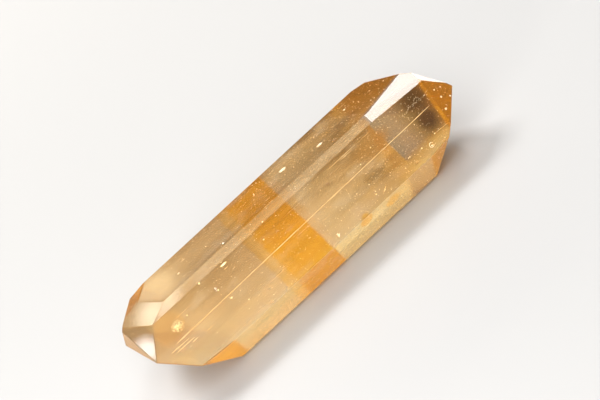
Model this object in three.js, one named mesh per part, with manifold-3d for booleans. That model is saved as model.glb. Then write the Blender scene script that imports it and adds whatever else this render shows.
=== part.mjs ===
// A loose olenite crystal: a stout tourmaline prism, grown to a point at both ends.
// Millimetres, +Z up. The prism axis lies along X, and the crystal rests on one broad prism face.
// A face is placed by three numbers. Its turn is the angle round the axis, in degrees, from -Y
// up towards +Z. Its tilt is the angle between its normal and the axis: 90 on a prism face, and
// less the more squarely it cuts the end. Its out is its distance from the middle of the axis.
import * as THREE from "three";
import { mergeVertices } from "three/addons/utils/BufferGeometryUtils.js";
import Module from "manifold-3d";

// Driving dimensions of the prism.
const BROAD_OUT = 5.05;
const NARROW_OUT = 5.65;
const BEVEL_OUT = 5.87;
const PRISM_TILT = 90;
const UNCUT_LENGTH = 52;

// The ditrigonal section: three broad faces, three narrow ones opposite them, and a bevel on
// every second edge, each set turned a third of a circle.
const THIRD_TURN = 120;
const BROAD_TURN = 30;
const BEVEL_TURN = 60;
const NARROW_TURN = 90;

// Faces that end the prism towards +X, the sharper end.
const PLUS_END = [
  { name: "long bevel facet", turn: 60, tilt: 88.5, out: 6.18 },
  { name: "wide shoulder", turn: 74, tilt: 86.5, out: 6.71 },
  { name: "crest facet", turn: 70, tilt: 43, out: 17.37 },
  { name: "front pyramid", turn: 27, tilt: 62, out: 12.99 },
  { name: "lower front corner", turn: 330, tilt: 84, out: 7.16 },
  { name: "underside pyramid", turn: 304, tilt: 49.5, out: 13.8 },
  { name: "back lower pyramid", turn: 215, tilt: 52, out: 12.07 },
  { name: "back upper pyramid", turn: 161.5, tilt: 44, out: 13.46 },
  { name: "back upper corner", turn: 122, tilt: 82, out: 7.96 },
];

// Faces that end it towards -X, the blunter end.
const MINUS_END = [
  { name: "front pyramid", turn: 63.5, tilt: 52.4, out: 15.79 },
  { name: "front strip", turn: 62, tilt: 4.6, out: 20.71 },
  { name: "upper shoulder", turn: 84.4, tilt: 79.7, out: 8.55 },
  { name: "upper back strip", turn: 105.7, tilt: 77.4, out: 9.34 },
  { name: "back upper pyramid", turn: 149.9, tilt: 51.5, out: 14.72 },
  { name: "back lower pyramid", turn: 216, tilt: 62, out: 11.73 },
  { name: "underside pyramid", turn: 273.5, tilt: 48, out: 12.05 },
  { name: "lower front corner", turn: 329, tilt: 86, out: 6.56 },
];

// Small chips knocked out of the prism edges: where along the axis, which edge, and how wide.
const BEVEL_FRONT_EDGE = 45;
const BEVEL_TOP_EDGE = 75;
const FRONT_LOWER_EDGE = 0;
const TOP_BACK_EDGE = 120;
const LOWER_BACK_EDGE = 240;
const CHIPS = [
  { along: -11.2, edge: BEVEL_FRONT_EDGE, size: 0.32 },
  { along: -2.6, edge: BEVEL_FRONT_EDGE, size: 0.26 },
  { along: 4.4, edge: BEVEL_FRONT_EDGE, size: 0.36 },
  { along: 7.9, edge: BEVEL_TOP_EDGE, size: 0.3 },
  { along: -7.4, edge: BEVEL_TOP_EDGE, size: 0.24 },
  { along: 1.7, edge: FRONT_LOWER_EDGE, size: 0.3 },
  { along: 12.6, edge: FRONT_LOWER_EDGE, size: 0.38 },
  { along: -8.8, edge: TOP_BACK_EDGE, size: 0.42 },
  { along: 6.1, edge: TOP_BACK_EDGE, size: 0.34 },
  { along: -3.9, edge: LOWER_BACK_EDGE, size: 0.44 },
  { along: 9.3, edge: LOWER_BACK_EDGE, size: 0.3 },
];
const CHIP_LENGTH_SHARE = 1.8;
const CHIP_TWIST_STEP = 37;

const BODY_COLOUR = 0xcfae80;
const BODY_ROUGHNESS = 0.05;

const wasm = await Module();
wasm.setup();

// The unit normal of a face, for the end of the crystal that it is on (+1 or -1).
function normalOf(turn, tilt, end) {
  const round = THREE.MathUtils.degToRad(turn);
  const lean = THREE.MathUtils.degToRad(tilt);
  return new THREE.Vector3(
    end * Math.cos(lean),
    -Math.sin(lean) * Math.cos(round),
    Math.sin(lean) * Math.sin(round),
  );
}

// A closed geometry as a solid that can be cut.
function solidOf(geometry) {
  geometry.deleteAttribute("normal");
  geometry.deleteAttribute("uv");
  const merged = mergeVertices(geometry);
  return new wasm.Manifold(
    new wasm.Mesh({
      numProp: 3,
      vertProperties: Float32Array.from(merged.attributes.position.array),
      triVerts: Uint32Array.from(merged.index.array),
    }),
  );
}

// The prism faces in order round the axis.
function prismFaces() {
  const faces = [];
  for (let third = 0; third < 3; third += 1) {
    const start = third * THIRD_TURN;
    faces.push({ turn: start + BROAD_TURN, out: BROAD_OUT });
    faces.push({ turn: start + BEVEL_TURN, out: BEVEL_OUT });
    faces.push({ turn: start + NARROW_TURN, out: NARROW_OUT });
  }
  return faces;
}

// The corner where two neighbouring sides of the section meet, in the YZ plane.
function sectionCorner(first, second) {
  const a = normalOf(first.turn, PRISM_TILT, 1);
  const b = normalOf(second.turn, PRISM_TILT, 1);
  const cross = a.y * b.z - a.z * b.y;
  const y = (first.out * b.z - second.out * a.z) / cross;
  const z = (second.out * a.y - first.out * b.y) / cross;
  return new THREE.Vector2(y, z);
}

// The long prism with uncut ends, its axis along X.
function uncutPrism() {
  const faces = prismFaces();
  const corners = faces.map((face, i) =>
    sectionCorner(face, faces[(i + 1) % faces.length]),
  );
  const section = new THREE.Shape(corners);
  const settings = { depth: UNCUT_LENGTH, bevelEnabled: false };
  const geometry = new THREE.ExtrudeGeometry(section, settings);
  geometry.translate(0, 0, -UNCUT_LENGTH / 2);
  const shapeX = new THREE.Vector3(0, 1, 0);
  const shapeY = new THREE.Vector3(0, 0, 1);
  const along = new THREE.Vector3(1, 0, 0);
  geometry.applyMatrix4(new THREE.Matrix4().makeBasis(shapeX, shapeY, along));
  return solidOf(geometry);
}

// Everything that lies outside one end face, as a block to take away.
function outsideOf(face, end) {
  const size = UNCUT_LENGTH;
  const normal = normalOf(face.turn, face.tilt, end);
  const block = new THREE.BoxGeometry(size, size, size);
  block.translate(0, 0, size / 2);
  const turned = new THREE.Quaternion();
  turned.setFromUnitVectors(new THREE.Vector3(0, 0, 1), normal);
  block.applyQuaternion(turned);
  block.translate(...normal.multiplyScalar(face.out).toArray());
  return solidOf(block);
}

// How far the section reaches from the axis in one direction.
function reachAt(turn) {
  const way = normalOf(turn, PRISM_TILT, 1);
  const reaches = prismFaces()
    .map((face) => ({
      out: face.out,
      share: normalOf(face.turn, PRISM_TILT, 1).dot(way),
    }))
    .filter((face) => face.share > 0)
    .map((face) => face.out / face.share);
  return Math.min(...reaches);
}

// A flake-shaped bite centred just outside an edge, longer along the axis than across.
function chipBite(chip, index) {
  const bite = new THREE.OctahedronGeometry(chip.size);
  bite.scale(CHIP_LENGTH_SHARE, 1, 1);
  bite.rotateX(THREE.MathUtils.degToRad(index * CHIP_TWIST_STEP));
  const place = normalOf(chip.edge, PRISM_TILT, 1);
  place.multiplyScalar(reachAt(chip.edge) + chip.size / 2);
  bite.translate(chip.along, place.y, place.z);
  return solidOf(bite);
}

// The finished crystal as one geometry, centred over the origin with its lowest face on z = 0.
function crystalGeometry() {
  let solid = uncutPrism();
  for (const face of PLUS_END) {
    solid = solid.subtract(outsideOf(face, 1));
  }
  for (const face of MINUS_END) {
    solid = solid.subtract(outsideOf(face, -1));
  }
  CHIPS.forEach((chip, index) => {
    solid = solid.subtract(chipBite(chip, index));
  });
  const mesh = solid.getMesh();
  const geometry = new THREE.BufferGeometry();
  const corners = new THREE.BufferAttribute(mesh.vertProperties, mesh.numProp);
  geometry.setAttribute("position", corners);
  geometry.setIndex(new THREE.BufferAttribute(mesh.triVerts, 1));
  geometry.computeBoundingBox();
  const box = geometry.boundingBox;
  const middle = box.getCenter(new THREE.Vector3());
  geometry.translate(-middle.x, -middle.y, -box.min.z);
  return geometry;
}

const crystal = new THREE.Mesh(
  crystalGeometry(),
  new THREE.MeshStandardMaterial({
    color: BODY_COLOUR,
    roughness: BODY_ROUGHNESS,
    metalness: 0,
    flatShading: true,
  }),
);
crystal.name = "crystal";

const specimen = new THREE.Group();
specimen.add(crystal);

export default specimen;
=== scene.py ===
"""An olenite crystal on a pale studio floor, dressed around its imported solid.

The scene is in metres, and what is in mm says so. The crystal lies along X, and -Y is the side of
its broad front face. A place around the axis is given as a turn in degrees, from -Y at 0 toward +Z
at 90.
"""

import math
import random

import bmesh
import bpy
from mathutils import Matrix, Vector


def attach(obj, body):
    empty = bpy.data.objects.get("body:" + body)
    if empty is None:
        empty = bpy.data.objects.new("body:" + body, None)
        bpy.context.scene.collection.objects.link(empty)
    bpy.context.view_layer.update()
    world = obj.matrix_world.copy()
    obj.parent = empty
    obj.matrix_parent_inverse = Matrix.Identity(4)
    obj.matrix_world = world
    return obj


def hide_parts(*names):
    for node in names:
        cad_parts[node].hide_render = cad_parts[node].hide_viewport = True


MM = 0.001
BODY = "root"
SOLID = "crystal"

# The direction of the crystal's axis of growth, and the point on it that its facets are measured
# from, in mm.
ALONG = Vector((1, 0, 0))
GROWTH_CENTRE = (-0.157, 0.154, 5.05)

# The prism faces that are seen from the front: the turn that each one faces, and its distance
# from the axis in mm.
FRONT_FACE = (30, 5.05)
RIDGE_FACE = (60, 5.87)
TOP_FACE = (90, 5.65)

# The end facets that have a colour of their own: turn, tilt from the axis and distance from the
# growth centre in mm. A negative tilt is at the -X end.
PLUS_LONG_BEVEL = (60, 88.5, 6.18)
PLUS_WIDE_SHOULDER = (74, 86.5, 6.71)
PLUS_PYRAMID = (27, 62, 12.99)
PLUS_LOWER_CORNER = (330, 84, 7.16)
PLUS_UNDERSIDE = (304, 49.5, 13.8)
PLUS_BACK_LOWER = (215, 52, 12.07)
PLUS_BACK_UPPER = (161.5, 44, 13.46)
MINUS_PYRAMID = (63.5, -52.4, 15.79)
MINUS_STRIP = (62, -4.6, 20.71)
MINUS_SHOULDER = (84.4, -79.7, 8.55)
MINUS_BACK_STRIP = (105.7, -77.4, 9.34)
MINUS_LOWER_CORNER = (329, -86, 6.56)
MINUS_UNDERSIDE = (273.5, -48, 12.05)
MINUS_BACK_UPPER = (149.9, -51.5, 14.72)
MINUS_BACK_LOWER = (216, -62, 11.73)

# The gap under the resting face, so that the floor doesn't touch the clear solid.
AIR_GAP = 0.03 * MM

# Camera: a long lens that looks down on the front of the crystal, rolled so that the crystal rises
# to the right.
CAMERA_AZIMUTH = math.radians(15.5)
CAMERA_ELEVATION = math.radians(35.7)
CAMERA_ROLL = math.radians(42.8)
CAMERA_DISTANCE = 500 * MM
CAMERA_TARGET = Vector((3.926, 0.16, 5.05)) * MM
CAMERA_SIDESTEP = -2.286 * MM
CAMERA_LENS = 300.0
CAMERA_CLIP = (0.01, 20.0)

# The studio's dim surrounding, and its lamps: the place of each, the point that it faces, its size,
# the brightness of its face and its colour.
SURROUND_COLOUR = (1.0, 0.98, 0.95, 1)
SURROUND_STRENGTH = 0.08
WHITE = (1, 1, 1)
LAMPS = {
    "key_softbox": ((0.1205, 0.043, 0.300), (0.1205, 0.043, 0), (0.051, 0.175), 9.0, WHITE),
    "back_softbox": ((-0.105, 0.140, 0.385), (0, 0, 0.005), (0.190, 0.170), 13.0, WHITE),
    "front_softbox": ((-0.135, -0.250, 0.350), (0, 0, 0.005), (0.300, 0.300), 6.0, WHITE),
    "low_front_fill": ((0.020, -0.360, 0.045), (0, 0, 0.003), (0.360, 0.080), 7.0, (1, 0.96, 0.9)),
    "left_kicker": (
        (-0.085, -0.060, 0.040), (-0.012, 0, 0.005), (0.030, 0.030), 16.0, (1, 0.97, 0.92),
    ),
    "back_low_card": ((0.0, 0.130, 0.051), (0, 0, 0.005), (0.240, 0.034), 2.8, (1, 0.93, 0.80)),
    "shoulder_card": (
        (-0.0226, 0.0513, 0.0707), (-0.0174, -0.0023, 0.0110), (0.0076, 0.0056), 7.5, (1, 0.97, 0.78),
    ),
    "top_end_card": (
        (-0.0047, 0.0479, 0.0455), (-0.0155, 0.0003, 0.0107), (0.0130, 0.0100), 1.7, (1, 0.82, 0.50),
    ),
    "ridge_end_card": (
        (-0.0012, -0.0112, 0.0890), (-0.0158, -0.0024, 0.0103), (0.0100, 0.0060), 6.0, (1, 0.93, 0.78),
    ),
    "corner_card": (
        (-0.0684, 0.0102, 0.0414), (-0.0202, -0.0037, 0.0081), (0.0046, 0.0040), 13.0, WHITE,
    ),
    "crest_card": ((0.0600, 0.0290, 0.0052), (0.0193, -0.0024, 0.0088), (0.018, 0.0100), 3.2, WHITE),
}
# The lamps that are brightest in the middle: the middle, and how far from it, in shares of their
# width, they are full and they end.
GRADED_LAMPS = ("shoulder_card", "top_end_card", "ridge_end_card", "corner_card")
LAMP_MIDDLE = (0.5, 0.5, 0)
GRADED_MIDDLE = 0.05
GRADED_EDGE = 0.5
# Bounces enough for light to pass right through the crystal.
LIGHT_BOUNCES = 32

FLOOR_HALF_WIDTH = 3.0
FLOOR_COLOUR = (0.52, 0.515, 0.51, 1)
FLOOR_ROUGHNESS = 0.7

# The crystal's surface and its clear inside.
CRYSTAL_ROUGHNESS = 0.24
CRYSTAL_IOR = 1.63
CRYSTAL_TRANSMISSION = 0.68
MIRROR_TINT = (1.0, 0.87, 0.64, 1)
POLISH_ROUGHNESS = 0.01
ABSORBED_COLOUR = (0.97, 0.80, 0.25, 1)
ABSORPTION = 60.0
# Fine striation along the prism, as bump.
STRIATION = {"stretch": (25, 0.16, 0.16), "detail": 4.0, "roughness": 0.6, "offset": (2, 5, 9)}
STRIATION_STRENGTH = 0.25
STRIATION_DEPTH = 0.02 * MM
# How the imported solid's loose triangles are joined, and how its edges are broken.
JOIN_REACH = 0.002 * MM
FLAT_ANGLE = math.radians(0.4)
EDGE_WIDTH = 0.05 * MM
EDGE_SEGMENTS = 2
EDGE_ANGLE = math.radians(13)

# Body colours by turn around the axis, painted lightest on the lower front face and darker toward the
# top as painted light and shade.
GIRDLE_COLOUR_AND_PAINTED_LIGHT = (
    (-180, (0.82, 0.56, 0.26)),
    (-60, (0.82, 0.56, 0.26)),
    (-49, (0.90, 0.57, 0.22)),
    (-25, (0.82, 0.58, 0.27)),
    (-21, (0.71, 0.54, 0.25)),
    (-6.5, (0.73, 0.57, 0.28)),
    (-5.5, (1.00, 0.84, 0.50)),
    (-4.0, (0.98, 0.76, 0.42)),
    (8, (1.00, 0.74, 0.37)),
    (28, (0.97, 0.67, 0.33)),
    (48, (0.76, 0.50, 0.23)),
    (60.3, (0.66, 0.43, 0.19)),
    (60.9, (0.74, 0.53, 0.30)),
    (70.6, (0.70, 0.50, 0.27)),
    (71.2, (0.74, 0.51, 0.24)),
    (114, (0.72, 0.48, 0.22)),
    (118, (0.82, 0.56, 0.26)),
    (180, (0.82, 0.56, 0.26)),
)

# Growth layers: they stand nearly square to the axis, lean by these slopes in Y and Z, and waver.
# A layer is numbered by its distance along X, in mm, from the one that passes the zero point.
LAYER_SLOPE_Y = -0.135
LAYER_SLOPE_Z = 0.177
LAYER_ZERO_X = -0.2
LAYER_ZERO_Z = 8.0
LAYER_WAVER = {"stretch": (1.5, 1.5, 1.5)}
LAYER_WAVER_REACH = 0.25
# The colour that each layer gives. The orange band is from -3.9 to 0.74.
GROWTH = (
    (-21.0, (1.00, 1.00, 1.00)),
    (-5.30, (1.00, 1.00, 1.00)),
    (-5.20, (1.05, 0.90, 0.50)),
    (-4.30, (1.05, 0.90, 0.50)),
    (-3.90, (1.13, 0.78, 0.09)),
    (0.74, (1.13, 0.74, 0.07)),
    (0.84, (1.00, 1.00, 1.00)),
    (4.5, (0.97, 0.94, 0.87)),
    (9.8, (0.79, 0.65, 0.41)),
    (10.9, (0.90, 0.71, 0.36)),
    (14.0, (0.90, 0.70, 0.29)),
    (21.0, (0.84, 0.56, 0.08)),
)
# The ridge face, which stays pale in the band: the turns where it starts and ends, and how much of
# the layers' colour it loses.
RIDGE_TURNS = ((60.4, 60.9), (70.6, 71.1))
RIDGE_PALENESS = 0.55
# The pale strip past the band, along the upper edge of the lower face: the turns and the layers
# where it starts and ends, its share and its colours by layer.
STRIP_TURNS = ((-24.5, -22.0), (-7.0, -5.8))
STRIP_START = (0.74, 0.90)
STRIP_SHARE = 0.85
STRIP = (
    (0.74, (1.00, 0.82, 0.44)),
    (7.5, (1.00, 0.79, 0.40)),
    (11.0, (1.00, 0.67, 0.25)),
    (16.0, (1.00, 0.58, 0.16)),
)
# What the layers past the band give on the lower face instead, and its share.
LOWER_GROWTH = (0.80, 0.92, 1.02)
LOWER_GROWTH_SHARE = 0.7
# The lower face's upper edge, and the band below it, where it is a deeper orange.
LOWER_FACE_EDGE = (-7.5, -6.0)
LOWER_BAND_EDGES = ((-4.3, -3.9), (0.74, 0.84))
LOWER_BAND_COLOUR = (0.74, 0.33, 0.001)
# Streaks along the prism: their pattern, the range of it that shows, the turns between which
# they grow stronger, their shares there, and what they take away.
STREAKS = {"stretch": (16, 0.45, 0.45), "detail": 4.0, "roughness": 0.6}
STREAK_RANGE = (0.35, 0.68)
STREAK_TURNS = (22.0, 46.0)
STREAK_SHARES = (0.28, 0.70)
STREAK_COLOUR = (0.74, 0.70, 0.66)
# Faint pale clouds all through the crystal.
CLOUDS = {"stretch": (3.5, 1.6, 1.6), "detail": 3.0, "roughness": 0.6, "offset": (7, 3, 1)}
CLOUD_RANGE = (0.45, 0.75)
CLOUD_SHARE = 0.30
CLOUD_COLOUR = (1.0, 0.86, 0.62)
# Brownish clouds above the lower face, past the band: where they begin, and what they take away.
SHADES = {"stretch": (4.5, 1.1, 1.1), "detail": 4.0, "roughness": 0.65, "offset": (11, 2, 5)}
SHADE_RANGE = (0.42, 0.66)
SHADE_START = (1.0, 9.0)
SHADE_TURNS = (2.0, 14.0)
SHADE_COLOUR = (0.61, 0.56, 0.45)
# An even greyer shade before the band: where it begins and ends, its share on the top face, and
# what it takes away.
GREY_START = (-14.5, -10.0)
GREY_END = (-5.2, -4.4)
GREY_TURNS = (6.0, 24.0)
GREY_TOP_SHARE = 0.5
GREY_COLOUR = (0.80, 0.77, 0.73)
# Smoky growth under the front face alone, near the +X end: where it starts, how sharply, its lower
# and upper edges and its colours by layer.
SMOKE_START = 12.3
SMOKE_SOFTNESS = 0.08
SMOKE_TURNS = (0.0, 13.0)
SMOKE_TOP_EDGE = (60.5, 60.9)
SMOKE = (
    (SMOKE_START, (0.39, 0.33, 0.22)),
    (14.2, (0.50, 0.36, 0.21)),
    (15.6, (0.37, 0.24, 0.09)),
    (16.4, (0.22, 0.125, 0.035)),
    (17.4, (0.22, 0.12, 0.035)),
    (18.4, (0.40, 0.17, 0.02)),
    (21.0, (0.60, 0.22, 0.01)),
)

# Oval places that have a colour of their own: centre and radii in mm, the share of the oval that
# has the full colour, and the colour. Where two overlap, the later one covers the earlier one.
COLOUR_SPOTS = {
    "upper_end_amber": ((19.3, 2.4, 10.6), (11.5, 5.2, 4.5), 0.5, (0.46, 0.19, 0.001)),
    "amber_blotch": ((4.9, -5.75, 3.85), (0.9, 1.0, 1.1), 0.75, (0.92, 0.50, 0.09)),
    "wide_amber_blotch": ((8.5, -5.4, 3.2), (1.15, 0.9, 0.95), 0.75, (0.92, 0.50, 0.09)),
    "tan_patch": ((-17.4, -3.3, 9.0), (2.3, 1.6, 2.0), 0.55, (0.88, 0.54, 0.20)),
    "cream_top_end": ((-16.2, 0.6, 10.6), (4.2, 3.2, 2.4), 0.5, (0.92, 0.68, 0.36)),
    "tuft_halo": ((-16.55, -3.92, 9.05), (0.95, 0.8, 0.9), 0.35, (1.0, 0.84, 0.42)),
    "lower_end_gold": ((15.8, -5.2, 2.8), (7.5, 3.4, 3.2), 0.55, (1.0, 0.72, 0.28)),
    "honey_patch": ((10.1, -3.55, 8.75), (3.0, 1.3, 1.6), 0.3, (0.56, 0.27, 0.06)),
    "smoke_core": ((16.6, -3.2, 9.2), (1.8, 1.6, 1.8), 0.2, (0.125, 0.065, 0.008)),
    "small_smoke_core": ((16.3, -4.5, 7.1), (1.5, 1.2, 1.5), 0.3, (0.07, 0.03, 0.006)),
}
# End facets that have a colour of their own, which covers all the colours before.
FACET_COLOURS = {
    PLUS_LONG_BEVEL: (0.42, 0.37, 0.32),
    PLUS_WIDE_SHOULDER: (0.42, 0.37, 0.32),
    PLUS_PYRAMID: (0.82, 0.33, 0.005),
    PLUS_UNDERSIDE: (0.80, 0.38, 0.05),
    PLUS_BACK_LOWER: (0.80, 0.38, 0.05),
    PLUS_BACK_UPPER: (0.70, 0.28, 0.02),
    PLUS_LOWER_CORNER: (1.0, 0.50, 0.03),
    MINUS_BACK_STRIP: (0.64, 0.26, 0.002),
    MINUS_STRIP: (0.92, 0.52, 0.06),
    MINUS_LOWER_CORNER: (0.80, 0.32, 0.005),
    MINUS_UNDERSIDE: (0.72, 0.32, 0.05),
    MINUS_BACK_UPPER: (0.80, 0.44, 0.12),
    MINUS_BACK_LOWER: (0.80, 0.44, 0.14),
    MINUS_PYRAMID: (0.50, 0.36, 0.17),
    MINUS_SHOULDER: (0.64, 0.44, 0.19),
}
# How softly a facet's colour begins at its edges, in mm.
FACET_SOFTNESS = {PLUS_PYRAMID: 0.12, PLUS_LONG_BEVEL: 0.004}
USUAL_SOFTNESS = 0.04

# How much of the polish is left on etched faces: on all that lie below the front face, and on two
# narrow end facets.
ETCHED_POLISH = 0.08
ETCHED_STRIPS = (MINUS_STRIP, MINUS_BACK_STRIP)
STRIP_POLISH = 0.1

# Inclusions at or just under a face, in mm: the face, the place along X from the growth centre and
# the place across the face from its middle line. Across is positive toward the higher turn. Each
# kind draws its random numbers from this seed plus a number of its own.
INCLUSION_SEED = 31
# A grain starts as a ball that is one unit wide.
BALL_RADIUS = 0.5
# Growth tubes: face, from and to along X, from and to across, and thickness in tube radii.
GROWTH_TUBES = (
    (FRONT_FACE, -17.6, 17.6, 0.02, 0.29, 1.0),
    (FRONT_FACE, -18.7, -16.4, -0.34, -0.42, 0.8),
    (FRONT_FACE, -18.2, -15.9, -0.66, -0.71, 0.9),
    (FRONT_FACE, -16.4, -15.5, -0.94, -0.95, 0.7),
    (FRONT_FACE, 16.0, 17.9, -2.11, -2.26, 0.6),
    (FRONT_FACE, 8.05, 8.75, -3.00, -2.60, 0.6),
)
TUBE_STEP = 0.7
TUBE_LEAST_STEPS = 3
TUBE_WANDER = 0.012
TUBE_DEPTH = 0.01
LONG_TUBE = 5
LONG_TUBE_RADIUS = 0.030
SHORT_TUBE_RADIUS = 0.034
# How a tube's thickness varies from ring to ring, and the share of it left at its ends.
TUBE_WIDTHS = (0.72, 1.12)
TUBE_TAPER = 0.45
TUBE_SIDES = 6
# Pale flecks: face, along X, across, length and width.
PALE_FLECKS = (
    (TOP_FACE, 2.5, 0.71, 1.10, 0.46),
    (TOP_FACE, 6.8, -0.42, 0.95, 0.34),
    (TOP_FACE, 11.4, 1.07, 0.34, 0.20),
    (TOP_FACE, -12.5, -0.23, 0.42, 0.18),
    (TOP_FACE, -8.6, -0.03, 0.15, 0.12),
    (TOP_FACE, 14.5, 0.56, 0.15, 0.11),
    (TOP_FACE, 16.2, 0.20, 0.22, 0.11),
    (TOP_FACE, 13.7, -0.79, 0.17, 0.12),
    (TOP_FACE, 14.1, -0.88, 0.13, 0.11),
    (TOP_FACE, 12.9, 0.46, 0.14, 0.11),
)
# Golden flecks, given as the pale ones are.
GOLDEN_FLECKS = (
    (RIDGE_FACE, -12.0, -0.04, 0.28, 0.20),
    (RIDGE_FACE, -8.9, -0.30, 0.95, 0.22),
    (RIDGE_FACE, -3.1, 0.19, 0.20, 0.12),
    (FRONT_FACE, -11.0, 1.11, 0.22, 0.18),
    (FRONT_FACE, -10.5, -0.34, 0.30, 0.20),
    (FRONT_FACE, -15.0, 1.38, 0.18, 0.15),
    (FRONT_FACE, -4.2, 1.73, 0.24, 0.12),
    (FRONT_FACE, 12.5, -2.15, 0.16, 0.13),
    (FRONT_FACE, 14.0, -2.33, 0.18, 0.15),
    (FRONT_FACE, 16.0, -2.11, 0.18, 0.14),
    (FRONT_FACE, 10.1, 1.22, 0.16, 0.12),
    (FRONT_FACE, 8.2, 0.65, 0.13, 0.12),
    (FRONT_FACE, 7.5, -1.4, 0.15, 0.12),
    (FRONT_FACE, 7.4, -2.6, 0.17, 0.13),
    (FRONT_FACE, 8.4, -2.85, 0.13, 0.11),
    (FRONT_FACE, -9.3, -1.63, 0.14, 0.12),
)
# A fleck's height and its depth under the face, in its own widths. How uneven every grain is.
FLECK_HEIGHT = 0.5
FLECK_DEPTH = 0.1
GRAIN_UNEVENNESS = (0.78, 1.12)
# Flecks on the +X pyramid: place and width in mm. Their height is in their own widths.
PYRAMID_FLECK_HEIGHT = 0.6
PYRAMID_FLECKS = (
    ((18.95, -3.76, 7.40), 0.26),
    ((18.45, -4.54, 6.48), 0.32),
    ((19.85, -3.63, 6.62), 0.24),
    ((18.85, -3.35, 8.32), 0.18),
    ((19.63, -3.10, 7.90), 0.16),
    ((18.78, -4.26, 6.62), 0.12),
)
# A healed crack near the +X end, as beads: their spacing, how far they stray, their height above
# the face, their widths, and their length, width and height in widths. Then its branches, along X
# and across on the front face.
CRACK_BEAD_STEP = 0.14
CRACK_BEAD_STRAY = 0.045
CRACK_BEAD_RISE = 0.01
CRACK_BEAD_WIDTHS = (0.022, 0.060)
CRACK_BEAD_SHAPE = (1.5, 1, 0.6)
CRACK_BRANCHES = (
    ((14.7, 1.32), (15.3, 1.38), (15.7, 1.48), (16.2, 1.42), (16.5, 1.48), (16.9, 1.42),
     (17.3, 1.44), (17.7, 1.40), (18.0, 1.52), (18.4, 1.53)),
    ((16.3, 1.45), (16.5, 1.68), (16.9, 1.82), (17.15, 1.66), (17.0, 1.46)),
    ((15.6, 1.46), (15.75, 1.66), (15.95, 1.80)),
    ((17.7, 1.42), (17.95, 1.30), (18.2, 1.32)),
    ((18.0, 1.52), (18.1, 1.70)),
)
# The pale tuft near the -X end: its place, its reach along X and across, and its small crystals,
# which crowd toward the middle and are narrower away from it.
TUFT = (FRONT_FACE, -16.4, 1.19)
TUFT_SIZE = (0.74, 0.60)
TUFT_CRYSTALS = 220
TUFT_CROWDING = 0.7
TUFT_WIDTHS = (0.04, 0.10)
TUFT_MIDDLE_WIDTH = 1.15
TUFT_NARROWING = 0.6
TUFT_DEPTHS = (-0.03, 0.04)
TUFT_CRYSTAL_SHAPE = (1.4, 1, 0.5)
# The round bubble near the +X end: its place, its rim, which is open for some degrees, and the
# bead inside it.
BUBBLE = (FRONT_FACE, 15.0, -2.75)
BUBBLE_RADIUS = 0.24
BUBBLE_RIM_TURNS = (20, 340)
BUBBLE_RIM_STEPS = 16
BUBBLE_RIM_RADIUS = 0.035
BUBBLE_RIM_TAPER = 0.5
BUBBLE_RIM_SIDES = 5
BUBBLE_RIM_DEPTH = 0.01
BUBBLE_BEAD_PLACE = (-0.02, -0.07)
BUBBLE_BEAD_DEPTH = 0.02
BUBBLE_BEAD_SIZE = (0.22, 0.20, 0.12)
# Thin needles: how many lie at random along each of the three faces, how far from its middle line,
# and how far from the growth centre they start. Lengths are raised to a power, so long ones are rare.
NEEDLE_COUNTS = {FRONT_FACE: 10, RIDGE_FACE: 5, TOP_FACE: 6}
FACE_HALF_WIDTHS = {FRONT_FACE: 3.0, RIDGE_FACE: 0.9, TOP_FACE: 2.1}
NEEDLE_REACH = 17.0
NEEDLE_ROOM = 3
NEEDLE_SIDE_SHARE = 0.92
NEEDLE_LENGTHS = (0.6, 3.2)
NEEDLE_LENGTH_POWER = 1.2
NEEDLE_PARTS = 3
NEEDLE_RADIUS = 0.013
NEEDLE_WIDTHS = (0.6, 1.2)
NEEDLE_TAPER = 0.2
NEEDLE_SIDES = 4
NEEDLE_DEPTH = 0.008
# The inclusions' materials: darker and lighter colour, size of the patches in mm and roughness.
CREAM = ((0.84, 0.58, 0.28), (1.0, 0.80, 0.50), 0.4, 0.5)
GOLD = ((0.82, 0.50, 0.18), (0.96, 0.68, 0.34), 2.0, 0.5)
WHITISH = ((0.86, 0.62, 0.34), (1.0, 0.86, 0.60), 0.3, 0.4)
TUFT_GOLD = ((0.96, 0.68, 0.28), (1.0, 0.86, 0.48), 0.3, 0.6)
PATCH_DETAIL = 2.0
PATCH_RANGE = (0.3, 0.7)

# Dust on the crystal: grains per square mm, smallest and largest grain in mm, and seed.
FINE_DUST = (2.3, 0.028, 0.064, 4)
COARSE_DUST = (0.07, 0.06, 0.10, 9)
# It lies on the faces that look toward the dusted side by more than this, from -1 to 1.
DUSTED_SIDE = (0, -0.45, 0.89)
DUSTED_SHARE = -0.25
# It is thicker in patches of this size, where a noise is in this range, and toward +X, between
# these places along X. The shares are how thick it is at either end of each.
DUST_PATCH = 5 * MM
DUST_PATCH_DETAIL = 3.0
DUST_PATCH_RANGE = (0.40, 0.66)
DUST_PATCH_SHARES = (0.25, 2.4)
DUST_PLACES = (-8 * MM, 12 * MM)
DUST_PLACE_SHARES = (0.5, 2.5)
# The least and the most that a grain is stretched on each axis.
GRAIN_LEAST = (0.6, 0.6, 0.5)
GRAIN_MOST = (1.5, 1.1, 0.9)


def direction(turn, tilt=90.0):
    """The outward direction of a facet: a tilt under 90 leans to +X, a negative one to -X."""
    around = math.radians(turn)
    lean = math.radians(abs(tilt))
    end = -1 if tilt < 0 else 1
    return Vector((
        end * math.cos(lean),
        -math.cos(around) * math.sin(lean),
        math.sin(around) * math.sin(lean),
    ))


def new_object(name, mesh):
    """An object in the scene that shows the mesh."""
    thing = bpy.data.objects.new(name, mesh)
    bpy.context.scene.collection.objects.link(thing)
    return thing


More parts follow.
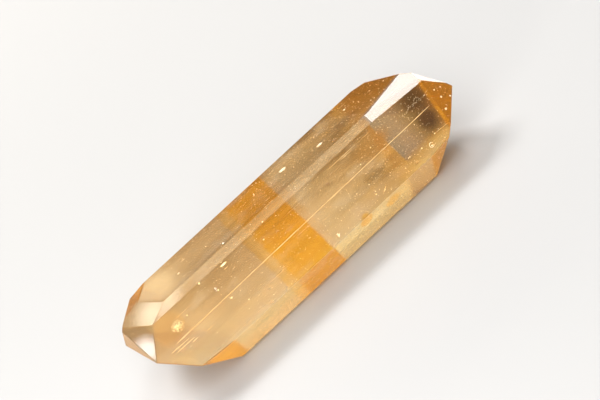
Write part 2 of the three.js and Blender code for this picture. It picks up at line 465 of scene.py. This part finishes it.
def view_axes():
    """The camera's right, up and backward directions."""
    back = Vector((
        -math.sin(CAMERA_AZIMUTH) * math.cos(CAMERA_ELEVATION),
        -math.cos(CAMERA_AZIMUTH) * math.cos(CAMERA_ELEVATION),
        math.sin(CAMERA_ELEVATION),
    ))
    along = (ALONG - back * ALONG.dot(back)).normalized()
    across = along.cross(back)
    right = along * math.cos(CAMERA_ROLL) + across * math.sin(CAMERA_ROLL)
    up = along * math.sin(CAMERA_ROLL) - across * math.cos(CAMERA_ROLL)
    return right, up, back


def set_camera():
    """The camera, which looks at its target from the front and above."""
    right, up, back = view_axes()
    camera = bpy.data.objects.new("camera", bpy.data.cameras.new("camera"))
    camera.data.lens = CAMERA_LENS
    camera.data.clip_start, camera.data.clip_end = CAMERA_CLIP
    place = CAMERA_TARGET + back * CAMERA_DISTANCE + right * CAMERA_SIDESTEP
    turned = Matrix((right, up, back)).transposed().to_4x4()
    camera.matrix_world = Matrix.Translation(place) @ turned
    bpy.context.scene.collection.objects.link(camera)
    bpy.context.scene.camera = camera


def grade(data):
    """Makes a lamp brightest in the middle, fading to nothing at its edges."""
    data.use_nodes = True
    tree = data.node_tree
    across = tree.nodes.new("ShaderNodeNewGeometry").outputs["Parametric"]
    reach = tree.nodes.new("ShaderNodeVectorMath")
    reach.operation = "DISTANCE"
    reach.inputs[1].default_value = LAMP_MIDDLE
    fade = tree.nodes.new("ShaderNodeMapRange")
    fade.interpolation_type = "SMOOTHSTEP"
    fade.inputs["From Min"].default_value = GRADED_EDGE
    fade.inputs["From Max"].default_value = GRADED_MIDDLE
    tree.links.new(across, reach.inputs[0])
    tree.links.new(reach.outputs["Value"], fade.inputs["Value"])
    tree.links.new(fade.outputs[0], tree.nodes["Emission"].inputs["Strength"])


def lamp(name, place, target, size, radiance, colour):
    """A rectangular lamp whose face has the given brightness, whatever its size."""
    data = bpy.data.lights.new(name, "AREA")
    data.shape = "RECTANGLE"
    data.size, data.size_y = size
    data.energy = radiance * math.pi * size[0] * size[1]
    data.color = colour
    if name in GRADED_LAMPS:
        grade(data)
    thing = bpy.data.objects.new(name, data)
    thing.location = place
    facing = Vector(target) - Vector(place)
    thing.rotation_euler = facing.to_track_quat("-Z", "Y").to_euler()
    bpy.context.scene.collection.objects.link(thing)


def set_light():
    """The dim surrounding, the lamps and the way that light is followed and shown."""
    world = bpy.data.worlds.new("studio")
    bpy.context.scene.world = world
    world.use_nodes = True
    background = world.node_tree.nodes["Background"]
    background.inputs["Color"].default_value = SURROUND_COLOUR
    background.inputs["Strength"].default_value = SURROUND_STRENGTH
    for name, settings in LAMPS.items():
        lamp(name, *settings)
    bpy.context.scene.view_settings.view_transform = "Standard"
    cycles = bpy.context.scene.cycles
    cycles.max_bounces = LIGHT_BOUNCES
    cycles.glossy_bounces = LIGHT_BOUNCES
    cycles.transmission_bounces = LIGHT_BOUNCES


def floor_material():
    """A matt pale grey."""
    material = bpy.data.materials.new("pale_floor")
    material.use_nodes = True
    surface = material.node_tree.nodes["Principled BSDF"]
    surface.inputs["Base Color"].default_value = FLOOR_COLOUR
    surface.inputs["Roughness"].default_value = FLOOR_ROUGHNESS
    return material


def make_floor():
    """One wide flat square, just under the crystal."""
    mesh = bpy.data.meshes.new("floor")
    half, low = FLOOR_HALF_WIDTH, -AIR_GAP
    corners = [(-half, -half, low), (half, -half, low), (half, half, low), (-half, half, low)]
    mesh.from_pydata(corners, [], [(0, 1, 2, 3)])
    floor = new_object("floor", mesh)
    floor.data.materials.append(floor_material())


class Shader:
    """Short forms for the nodes of one material; places and lengths are in mm."""

    def __init__(self, name):
        """Starts a material whose patterns follow the object's own coordinates."""
        self.material = bpy.data.materials.new(name)
        self.material.use_nodes = True
        self.tree = self.material.node_tree
        self.surface = self.tree.nodes["Principled BSDF"]
        self.output = self.tree.nodes["Material Output"]
        metres = self.tree.nodes.new("ShaderNodeTexCoord").outputs["Object"]
        self.place = self.vector("SCALE", metres, scale=1 / MM)

    def put(self, value, socket):
        """Links a node's output to the socket, or sets the socket to a plain value."""
        if isinstance(value, bpy.types.NodeSocket):
            self.tree.links.new(value, socket)
        else:
            socket.default_value = value

    def vector(self, operation, *values, scale=None):
        """The result of a vector operation on places, plain vectors or both."""
        node = self.tree.nodes.new("ShaderNodeVectorMath")
        node.operation = operation
        for value, socket in zip(values, node.inputs):
            self.put(value, socket)
        if scale is not None:
            node.inputs["Scale"].default_value = scale
        return node.outputs["Value" if operation in ("DOT_PRODUCT", "LENGTH") else "Vector"]

    def number(self, operation, *values):
        """The result of an operation on numbers."""
        node = self.tree.nodes.new("ShaderNodeMath")
        node.operation = operation
        for value, socket in zip(values, node.inputs):
            self.put(value, socket)
        return node.outputs[0]

    def product(self, first, *others):
        """All the numbers multiplied."""
        for other in others:
            first = self.number("MULTIPLY", first, other)
        return first

    def fade(self, value, start, end, low=0.0, high=1.0):
        """Goes smoothly from low to high while the value goes from start to end."""
        node = self.tree.nodes.new("ShaderNodeMapRange")
        node.interpolation_type = "SMOOTHSTEP"
        for item, socket in zip((value, start, end, low, high), node.inputs):
            self.put(item, socket)
        return node.outputs[0]

    def fall(self, value, start, end):
        """Goes smoothly from 1 to 0 while the value goes from start to end."""
        return self.fade(value, start, end, 1.0, 0.0)

    def ramp(self, value, stops):
        """A colour that depends on a value, by stops of (value, colour) in rising order."""
        first, last = stops[0][0], stops[-1][0]
        node = self.tree.nodes.new("ShaderNodeValToRGB")
        elements = node.color_ramp.elements
        given = list(elements)
        for value_at, colour in stops:
            share = (value_at - first) / (last - first)
            element = given.pop(0) if given else elements.new(share)
            element.position = share
            element.color = (*colour, 1)
        spread = self.number("DIVIDE", self.number("SUBTRACT", value, first), last - first)
        self.put(spread, node.inputs[0])
        return node.outputs[0]

    def mix(self, share, a, b, blend="MIX"):
        """Colour a with a share of colour b mixed in or, with MULTIPLY, multiplied into it."""
        node = self.tree.nodes.new("ShaderNodeMix")
        node.data_type = "RGBA"
        node.blend_type = blend
        node.clamp_result = False
        self.put(share, node.inputs["Factor"])
        for value, name in ((a, "A"), (b, "B")):
            sockets = [s for s in node.inputs if s.name == name and s.type == "RGBA"]
            self.put(value if isinstance(value, bpy.types.NodeSocket) else (*value, 1), sockets[0])
        return [s for s in node.outputs if s.type == "RGBA"][0]

    def noise(self, stretch, detail=3.0, roughness=0.5, offset=(0, 0, 0)):
        """Noise from 0 to 1 over the place, its grain stretched to these lengths in mm."""
        grain = tuple(1 / length for length in stretch)
        moved = self.vector("ADD", self.vector("MULTIPLY", self.place, grain), offset)
        node = self.tree.nodes.new("ShaderNodeTexNoise")
        node.inputs["Scale"].default_value = 1.0
        node.inputs["Detail"].default_value = detail
        node.inputs["Roughness"].default_value = roughness
        self.put(moved, node.inputs["Vector"])
        return node.outputs[0]

    def spot(self, centre, radii, core):
        """1 in the core of an oval place, fading to 0 at its radii."""
        shifted = self.vector("SUBTRACT", self.place, centre)
        scaled = self.vector("MULTIPLY", shifted, tuple(1 / radius for radius in radii))
        return self.fall(self.vector("LENGTH", scaled), core, 1.0)

    def facet(self, turn, tilt, out, soft=USUAL_SOFTNESS):
        """1 on one end facet, and 0 on the rest of the crystal."""
        shifted = self.vector("SUBTRACT", self.place, GROWTH_CENTRE)
        reach = self.vector("DOT_PRODUCT", shifted, tuple(direction(turn, tilt)))
        return self.fade(reach, out - 2 * soft, out - soft)


def growth_layer(shader):
    """The number of the growth layer that a place is in."""
    waver = shader.number("MULTIPLY", shader.noise(**LAYER_WAVER), LAYER_WAVER_REACH)
    layer = shader.vector("DOT_PRODUCT", shader.place, (1, LAYER_SLOPE_Y, LAYER_SLOPE_Z))
    zero = LAYER_ZERO_X + LAYER_SLOPE_Z * LAYER_ZERO_Z + LAYER_WAVER_REACH / 2
    return shader.number("ADD", shader.number("SUBTRACT", layer, zero), waver)


def grown_colour(shader, turn, layer):
    """The colour by face around the axis, with its painted light and shade, and by growth layer."""
    growth = shader.ramp(layer, GROWTH)
    pale_ridge = shader.product(
        shader.fade(turn, *RIDGE_TURNS[0]), shader.fall(turn, *RIDGE_TURNS[1]), RIDGE_PALENESS
    )
    growth = shader.mix(pale_ridge, growth, WHITE)
    on_lower = shader.product(
        shader.fall(turn, *STRIP_TURNS[1]), LOWER_GROWTH_SHARE, shader.fade(layer, *STRIP_START)
    )
    growth = shader.mix(on_lower, growth, LOWER_GROWTH)
    # The colour by turn carries painted light on the lower front face and painted shade toward the top.
    colour = shader.mix(1.0, shader.ramp(turn, GIRDLE_COLOUR_AND_PAINTED_LIGHT), growth, "MULTIPLY")

    strip = shader.product(
        shader.fade(turn, *STRIP_TURNS[0]),
        STRIP_SHARE,
        shader.fall(turn, *STRIP_TURNS[1]),
        shader.fade(layer, *STRIP_START),
    )
    colour = shader.mix(strip, colour, shader.ramp(layer, STRIP))
    lower_band = shader.product(
        shader.fade(layer, *LOWER_BAND_EDGES[0]),
        shader.fall(layer, *LOWER_BAND_EDGES[1]),
        shader.fall(turn, *LOWER_FACE_EDGE),
    )
    return shader.mix(lower_band, colour, LOWER_BAND_COLOUR)


def clouded_colour(shader, colour, turn, layer):
    """The colour with the streaks, clouds, shades and smoke that lie in the clear crystal."""
    streaks = shader.product(
        shader.fade(shader.noise(**STREAKS), *STREAK_RANGE),
        shader.fade(turn, *STREAK_TURNS, *STREAK_SHARES),
    )
    colour = shader.mix(streaks, colour, STREAK_COLOUR, "MULTIPLY")
    clouds = shader.product(shader.fade(shader.noise(**CLOUDS), *CLOUD_RANGE), CLOUD_SHARE)
    colour = shader.mix(clouds, colour, CLOUD_COLOUR)
    shade = shader.product(
        shader.fade(shader.noise(**SHADES), *SHADE_RANGE),
        shader.fade(layer, *SHADE_START),
        shader.fade(turn, *SHADE_TURNS),
    )
    colour = shader.mix(shade, colour, SHADE_COLOUR, "MULTIPLY")

    on_front = shader.fall(turn, *RIDGE_TURNS[0])
    on_top = shader.fade(turn, *RIDGE_TURNS[1], 0.0, GREY_TOP_SHARE)
    grey = shader.product(
        shader.fade(layer, *GREY_START),
        shader.fade(turn, *GREY_TURNS),
        shader.fall(layer, *GREY_END),
        shader.number("ADD", on_front, on_top),
    )
    colour = shader.mix(grey, colour, GREY_COLOUR, "MULTIPLY")
    smoke = shader.product(
        shader.fade(layer, SMOKE_START - SMOKE_SOFTNESS, SMOKE_START + SMOKE_SOFTNESS),
        shader.fade(turn, *SMOKE_TURNS),
        shader.fall(turn, *SMOKE_TOP_EDGE),
    )
    return shader.mix(smoke, colour, shader.ramp(layer, SMOKE))


def crystal_colour(shader):
    """The crystal's colour: as it grew, with light and shade painted in by face, then its clouds, its
    oval places and its end facets.
    """
    turn = face_turn(shader)
    layer = growth_layer(shader)
    colour = grown_colour(shader, turn, layer)
    colour = clouded_colour(shader, colour, turn, layer)
    for centre, radii, core, spot_colour in COLOUR_SPOTS.values():
        colour = shader.mix(shader.spot(centre, radii, core), colour, spot_colour)
    for facet, facet_colour in FACET_COLOURS.items():
        soft = FACET_SOFTNESS.get(facet, USUAL_SOFTNESS)
        colour = shader.mix(shader.facet(*facet, soft), colour, facet_colour)
    return colour


def face_turn(shader):
    """The turn of a place around the growth axis, in degrees from -180 to 180."""
    split = shader.tree.nodes.new("ShaderNodeSeparateXYZ")
    shader.put(shader.vector("SUBTRACT", shader.place, GROWTH_CENTRE), split.inputs[0])
    forward = shader.number("MULTIPLY", split.outputs["Y"], -1.0)
    return shader.number("DEGREES", shader.number("ARCTAN2", split.outputs["Z"], forward))


def polish(shader):
    """The share of polish: the etched faces mirror less than the others."""
    below_front = shader.fade(face_turn(shader), *LOWER_FACE_EDGE, ETCHED_POLISH, 1.0)
    strips = [shader.fade(shader.facet(*strip), 0.0, 1.0, 1.0, STRIP_POLISH) for strip in ETCHED_STRIPS]
    return shader.product(below_front, *strips)


def crystal_material():
    """Clear tourmaline, a little milky, under smooth faces with a fine striation."""
    shader = Shader("olenite")
    surface = shader.surface
    surface.inputs["Roughness"].default_value = CRYSTAL_ROUGHNESS
    surface.inputs["IOR"].default_value = CRYSTAL_IOR
    surface.inputs["Transmission Weight"].default_value = CRYSTAL_TRANSMISSION
    surface.inputs["Specular Tint"].default_value = MIRROR_TINT
    shader.put(polish(shader), surface.inputs["Coat Weight"])
    surface.inputs["Coat Roughness"].default_value = POLISH_ROUGHNESS
    surface.inputs["Coat IOR"].default_value = CRYSTAL_IOR
    shader.put(crystal_colour(shader), surface.inputs["Base Color"])

    bump = shader.tree.nodes.new("ShaderNodeBump")
    bump.inputs["Strength"].default_value = STRIATION_STRENGTH
    bump.inputs["Distance"].default_value = STRIATION_DEPTH
    shader.put(shader.noise(**STRIATION), bump.inputs["Height"])
    shader.put(bump.outputs[0], surface.inputs["Normal"])

    volume = shader.tree.nodes.new("ShaderNodeVolumeAbsorption")
    volume.inputs["Color"].default_value = ABSORBED_COLOUR
    volume.inputs["Density"].default_value = ABSORPTION
    shader.put(volume.outputs["Volume"], shader.output.inputs["Volume"])
    return shader.material


def make_crystal(solid):
    """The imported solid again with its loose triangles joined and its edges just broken."""
    mesh = solid.data.copy()
    work = bmesh.new()
    work.from_mesh(mesh)
    bmesh.ops.remove_doubles(work, verts=work.verts, dist=JOIN_REACH)
    bmesh.ops.dissolve_limit(work, angle_limit=FLAT_ANGLE, verts=work.verts, edges=work.edges)
    work.to_mesh(mesh)
    work.free()
    mesh.materials.clear()
    mesh.materials.append(crystal_material())
    piece = new_object("clear_crystal", mesh)
    bevel = piece.modifiers.new("broken_edges", "BEVEL")
    bevel.width = EDGE_WIDTH
    bevel.segments = EDGE_SEGMENTS
    bevel.limit_method = "ANGLE"
    bevel.angle_limit = EDGE_ANGLE
    bevel.harden_normals = True
    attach(piece, BODY)
    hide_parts(SOLID)
    return piece


def face_axes(face):
    """The directions along a prism face, across it toward the higher turn, and out of it."""
    turn = face[0]
    return ALONG, direction(turn + 90), direction(turn)


def on_face(face, along, across, depth=0.0):
    """A point in metres at or under a prism face, from places in mm."""
    turn, out = face
    axis_point = Vector((GROWTH_CENTRE[0] + along, GROWTH_CENTRE[1], GROWTH_CENTRE[2]))
    return (axis_point + direction(turn) * (out - depth) + direction(turn + 90) * across) * MM


def add_tube(work, path, radius, rng, taper=TUBE_TAPER, sides=TUBE_SIDES):
    """A slightly uneven closed tube, in metres, along the points of a path."""
    rings = []
    last = len(path) - 1
    for place, point in enumerate(path):
        ahead = path[min(place + 1, last)] - path[max(place - 1, 0)]
        out = ahead.orthogonal().normalized()
        side = ahead.normalized().cross(out)
        width = radius * rng.uniform(*TUBE_WIDTHS) * (taper if place in (0, last) else 1.0)
        ring = []
        for corner in range(sides):
            angle = 2 * math.pi * corner / sides
            spread = out * math.cos(angle) + side * math.sin(angle)
            ring.append(work.verts.new(point + spread * width))
        rings.append(ring)
    for near, far in zip(rings, rings[1:]):
        for corner in range(sides):
            after = (corner + 1) % sides
            work.faces.new((near[corner], near[after], far[after], far[corner]))
    work.faces.new(list(reversed(rings[0])))
    work.faces.new(rings[-1])


def add_fleck(work, centre, along, across, out, size, rng):
    """A small uneven grain, with its length, width and height in mm along three directions."""
    length, width, height = (value * MM for value in size)
    grain = bmesh.ops.create_icosphere(work, subdivisions=1, radius=BALL_RADIUS)
    for vert in grain["verts"]:
        x, y, z = vert.co * rng.uniform(*GRAIN_UNEVENNESS)
        vert.co = centre + along * (x * length) + across * (y * width) + out * (z * height)


def in_widths(shape, width):
    """A grain's size from its length, width and height in widths."""
    return [part * width for part in shape]


def finish_piece(name, work, material):
    """Turns the work into a named piece with one material, carried by the crystal's body."""
    bmesh.ops.recalc_face_normals(work, faces=work.faces)
    mesh = bpy.data.meshes.new(name)
    work.to_mesh(mesh)
    work.free()
    mesh.materials.append(material)
    piece = new_object(name, mesh)
    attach(piece, BODY)


def pale_material(name, dark, light, grain, roughness):
    """A pale colour for inclusions, a little uneven from grain to grain."""
    shader = Shader(name)
    tone = shader.fade(shader.noise((grain, grain, grain), PATCH_DETAIL), *PATCH_RANGE)
    shader.put(shader.mix(tone, dark, light), shader.surface.inputs["Base Color"])
    shader.surface.inputs["Roughness"].default_value = roughness
    return shader.material


def make_growth_tubes(material):
    """The long tube down the front face and the short ones near both ends."""
    rng = random.Random(INCLUSION_SEED)
    work = bmesh.new()
    for face, start, end, start_across, end_across, thickness in GROWTH_TUBES:
        steps = max(TUBE_LEAST_STEPS, round((end - start) / TUBE_STEP))
        path = []
        for step in range(steps + 1):
            share = step / steps
            wander = rng.uniform(-TUBE_WANDER, TUBE_WANDER)
            across = start_across + (end_across - start_across) * share + wander
            path.append(on_face(face, start + (end - start) * share, across, TUBE_DEPTH))
        radius = LONG_TUBE_RADIUS if end - start > LONG_TUBE else SHORT_TUBE_RADIUS
        add_tube(work, path, radius * thickness * MM, rng)
    finish_piece("growth_tubes", work, material)


def make_needles(material):
    """Thin needles scattered along the three upper front faces."""
    rng = random.Random(INCLUSION_SEED + 1)
    work = bmesh.new()
    for face, count in NEEDLE_COUNTS.items():
        for _ in range(count):
            start = rng.uniform(-NEEDLE_REACH, NEEDLE_REACH - NEEDLE_ROOM)
            length = rng.uniform(*NEEDLE_LENGTHS) ** NEEDLE_LENGTH_POWER
            across = rng.uniform(-1, 1) * FACE_HALF_WIDTHS[face] * NEEDLE_SIDE_SHARE
            path = []
            for part in range(NEEDLE_PARTS + 1):
                along = start + length * part / NEEDLE_PARTS
                path.append(on_face(face, along, across, NEEDLE_DEPTH))
            radius = NEEDLE_RADIUS * rng.uniform(*NEEDLE_WIDTHS) * MM
            add_tube(work, path, radius, rng, NEEDLE_TAPER, NEEDLE_SIDES)
    finish_piece("fine_needles", work, material)


def make_flecks(name, flecks, material):
    """Flecks along the prism faces."""
    rng = random.Random(INCLUSION_SEED + 2)
    work = bmesh.new()
    for face, along, across, length, width in flecks:
        size = (length, width, FLECK_HEIGHT * width)
        centre = on_face(face, along, across, FLECK_DEPTH * width)
        add_fleck(work, centre, *face_axes(face), size, rng)
    finish_piece(name, work, material)


def make_pyramid_flecks(material):
    """Flecks on the +X pyramid's face."""
    rng = random.Random(INCLUSION_SEED + 6)
    work = bmesh.new()
    normal = direction(*PLUS_PYRAMID[:2])
    across = normal.cross(ALONG).normalized()
    down = normal.cross(across)
    for place, width in PYRAMID_FLECKS:
        size = (width, width, PYRAMID_FLECK_HEIGHT * width)
        add_fleck(work, Vector(place) * MM, across, down, normal, size, rng)
    finish_piece("pyramid_flecks", work, material)


def make_crack(material):
    """The healed crack, as a chain of beads along each of its branches."""
    rng = random.Random(INCLUSION_SEED + 3)
    work = bmesh.new()
    for branch in CRACK_BRANCHES:
        for near, far in zip(branch, branch[1:]):
            beads = max(1, round(math.dist(near, far) / CRACK_BEAD_STEP))
            for bead in range(beads):
                share = bead / beads
                place = []
                for start, end in zip(near, far):
                    stray = rng.uniform(-CRACK_BEAD_STRAY, CRACK_BEAD_STRAY)
                    place.append(start + (end - start) * share + stray)
                size = in_widths(CRACK_BEAD_SHAPE, rng.uniform(*CRACK_BEAD_WIDTHS))
                centre = on_face(FRONT_FACE, *place, -CRACK_BEAD_RISE)
                add_fleck(work, centre, *face_axes(FRONT_FACE), size, rng)
    finish_piece("healed_crack", work, material)


def make_tuft(material):
    """The tuft, as many small crystals that point away from its middle."""
    rng = random.Random(INCLUSION_SEED + 4)
    work = bmesh.new()
    face, middle, side = TUFT
    lengthwise, crosswise, outward = face_axes(face)
    for _ in range(TUFT_CRYSTALS):
        angle = rng.uniform(0, 2 * math.pi)
        reach = rng.random() ** TUFT_CROWDING
        place = middle + TUFT_SIZE[0] * reach * math.cos(angle)
        across = side + TUFT_SIZE[1] * reach * math.sin(angle)
        width = rng.uniform(*TUFT_WIDTHS) * (TUFT_MIDDLE_WIDTH - TUFT_NARROWING * reach)
        centre = on_face(face, place, across, rng.uniform(*TUFT_DEPTHS))
        away = lengthwise * math.cos(angle) + crosswise * math.sin(angle)
        away.normalize()
        size = in_widths(TUFT_CRYSTAL_SHAPE, width)
        add_fleck(work, centre, away, outward.cross(away), outward, size, rng)
    finish_piece("pale_tuft", work, material)


def make_bubble(material):
    """A round trapped bubble: its pale rim and the bright bead inside it."""
    rng = random.Random(INCLUSION_SEED + 5)
    work = bmesh.new()
    face, middle, side = BUBBLE
    first, last = BUBBLE_RIM_TURNS
    rim = []
    for step in range(BUBBLE_RIM_STEPS + 1):
        angle = math.radians(first + (last - first) * step / BUBBLE_RIM_STEPS)
        along = middle + BUBBLE_RADIUS * math.cos(angle)
        across = side + BUBBLE_RADIUS * math.sin(angle)
        rim.append(on_face(face, along, across, BUBBLE_RIM_DEPTH))
    add_tube(work, rim, BUBBLE_RIM_RADIUS * MM, rng, BUBBLE_RIM_TAPER, BUBBLE_RIM_SIDES)
    bead_along, bead_across = BUBBLE_BEAD_PLACE
    bead = on_face(face, middle + bead_along, side + bead_across, BUBBLE_BEAD_DEPTH)
    add_fleck(work, bead, *face_axes(face), BUBBLE_BEAD_SIZE, rng)
    finish_piece("bubble", work, material)


def dust_tree(material):
    """A Geometry Nodes tree that scatters uneven grains over a mesh, thicker in some places."""
    tree = bpy.data.node_groups.new("dust_over_faces", "GeometryNodeTree")
    sockets = (
        ("Geometry", "INPUT", "NodeSocketGeometry"),
        ("Grains per square metre", "INPUT", "NodeSocketFloat"),
        ("Smallest grain", "INPUT", "NodeSocketFloat"),
        ("Largest grain", "INPUT", "NodeSocketFloat"),
        ("Seed", "INPUT", "NodeSocketInt"),
        ("Geometry", "OUTPUT", "NodeSocketGeometry"),
    )
    for name, way, kind in sockets:
        tree.interface.new_socket(name, in_out=way, socket_type=kind)

    def node(kind, inputs=None, **settings):
        """A node with these settings, and with plain values on some of its inputs."""
        made = tree.nodes.new(kind)
        for name, value in settings.items():
            setattr(made, name, value)
        for socket, value in (inputs or {}).items():
            made.inputs[socket].default_value = value
        return made

    def map_range(before, after):
        """A node that takes one range of values to another, and stops at its ends."""
        names = ("From Min", "From Max", "To Min", "To Max")
        return node("ShaderNodeMapRange", dict(zip(names, (*before, *after))))

    link = tree.links.new
    given = node("NodeGroupInput").outputs
    place = node("GeometryNodeInputPosition")
    split = node("ShaderNodeSeparateXYZ")
    facing = node("GeometryNodeInputNormal")
    upward = node("ShaderNodeVectorMath", {1: DUSTED_SIDE}, operation="DOT_PRODUCT")
    dusted = node(
        "FunctionNodeCompare", {"B": DUSTED_SHARE}, data_type="FLOAT", operation="GREATER_THAN"
    )
    patches = node("ShaderNodeTexNoise", {"Scale": 1 / DUST_PATCH, "Detail": DUST_PATCH_DETAIL})
    thick = map_range(DUST_PATCH_RANGE, DUST_PATCH_SHARES)
    toward_end = map_range(DUST_PLACES, DUST_PLACE_SHARES)
    uneven = node("ShaderNodeMath", operation="MULTIPLY")
    density = node("ShaderNodeMath", operation="MULTIPLY")
    scatter = node("GeometryNodeDistributePointsOnFaces")
    grain = node("GeometryNodeMeshIcoSphere", {"Radius": BALL_RADIUS, "Subdivisions": 1})
    size = node("FunctionNodeRandomValue", data_type="FLOAT")
    stretch = node("FunctionNodeRandomValue", data_type="FLOAT_VECTOR")
    stretch.inputs["Min"].default_value = GRAIN_LEAST
    stretch.inputs["Max"].default_value = GRAIN_MOST
    scale = node("ShaderNodeVectorMath", operation="SCALE")
    put = node("GeometryNodeInstanceOnPoints")
    realize = node("GeometryNodeRealizeInstances")
    paint = node("GeometryNodeSetMaterial", {"Material": material})
    result = node("NodeGroupOutput")

    # Where the grains lie: on the dusted side, thicker in patches and toward +X.
    link(given["Geometry"], scatter.inputs["Mesh"])
    link(place.outputs[0], split.inputs[0])
    link(facing.outputs[0], upward.inputs[0])
    link(upward.outputs["Value"], dusted.inputs["A"])
    link(dusted.outputs[0], scatter.inputs["Selection"])
    link(place.outputs[0], patches.inputs["Vector"])
    link(patches.outputs[0], thick.inputs["Value"])
    link(split.outputs["X"], toward_end.inputs["Value"])
    link(thick.outputs[0], uneven.inputs[0])
    link(toward_end.outputs[0], uneven.inputs[1])
    link(uneven.outputs[0], density.inputs[0])
    link(given["Grains per square metre"], density.inputs[1])
    link(density.outputs[0], scatter.inputs["Density"])
    link(given["Seed"], scatter.inputs["Seed"])
    # Each grain's size and stretch.
    link(given["Smallest grain"], size.inputs["Min"])
    link(given["Largest grain"], size.inputs["Max"])
    link(given["Seed"], size.inputs["Seed"])
    link(stretch.outputs[0], scale.inputs[0])
    link(size.outputs["Value"], scale.inputs["Scale"])
    # The grains themselves, as plain mesh with their material.
    link(scatter.outputs["Points"], put.inputs["Points"])
    link(scatter.outputs["Rotation"], put.inputs["Rotation"])
    link(grain.outputs[0], put.inputs["Instance"])
    link(scale.outputs[0], put.inputs["Scale"])
    link(put.outputs[0], realize.inputs[0])
    link(realize.outputs[0], paint.inputs["Geometry"])
    link(paint.outputs[0], result.inputs[0])
    return tree


def make_dust(name, crystal, tree, density, smallest, largest, seed):
    """Dust over the crystal: density in grains per square mm, sizes in mm."""
    piece = new_object(name, crystal.data.copy())
    scatter = piece.modifiers.new("scatter", "NODES")
    scatter.node_group = tree
    values = {
        "Grains per square metre": density / MM**2,
        "Smallest grain": smallest * MM,
        "Largest grain": largest * MM,
        "Seed": seed,
    }
    for item in tree.interface.items_tree:
        if item.in_out == "INPUT" and item.name in values:
            scatter[item.identifier] = values[item.name]
    seen = piece.evaluated_get(bpy.context.evaluated_depsgraph_get())
    grains = bpy.data.meshes.new_from_object(seen)
    piece.modifiers.remove(scatter)
    piece.data = grains
    piece.data.name = name
    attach(piece, BODY)


def make_inclusions(crystal):
    """All that is in and on the crystal."""
    cream = pale_material("cream_inclusion", *CREAM)
    gold = pale_material("golden_tube", *GOLD)
    white = pale_material("white_fleck", *WHITISH)
    tuft = pale_material("golden_tuft", *TUFT_GOLD)
    make_growth_tubes(gold)
    make_needles(gold)
    make_crack(white)
    make_tuft(tuft)
    make_flecks("pale_flecks", PALE_FLECKS, white)
    make_flecks("golden_flecks", GOLDEN_FLECKS, tuft)
    make_pyramid_flecks(white)
    make_bubble(white)
    tree = dust_tree(cream)
    make_dust("fine_dust", crystal, tree, *FINE_DUST)
    make_dust("coarse_dust", crystal, tree, *COARSE_DUST)


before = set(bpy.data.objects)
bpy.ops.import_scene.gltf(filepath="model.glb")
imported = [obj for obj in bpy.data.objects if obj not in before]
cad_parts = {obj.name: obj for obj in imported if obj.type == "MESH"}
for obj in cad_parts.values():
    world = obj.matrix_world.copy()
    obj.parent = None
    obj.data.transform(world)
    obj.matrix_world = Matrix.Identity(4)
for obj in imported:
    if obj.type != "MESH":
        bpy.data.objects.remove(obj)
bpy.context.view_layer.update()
set_camera()
set_light()
make_floor()
make_inclusions(make_crystal(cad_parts[SOLID]))
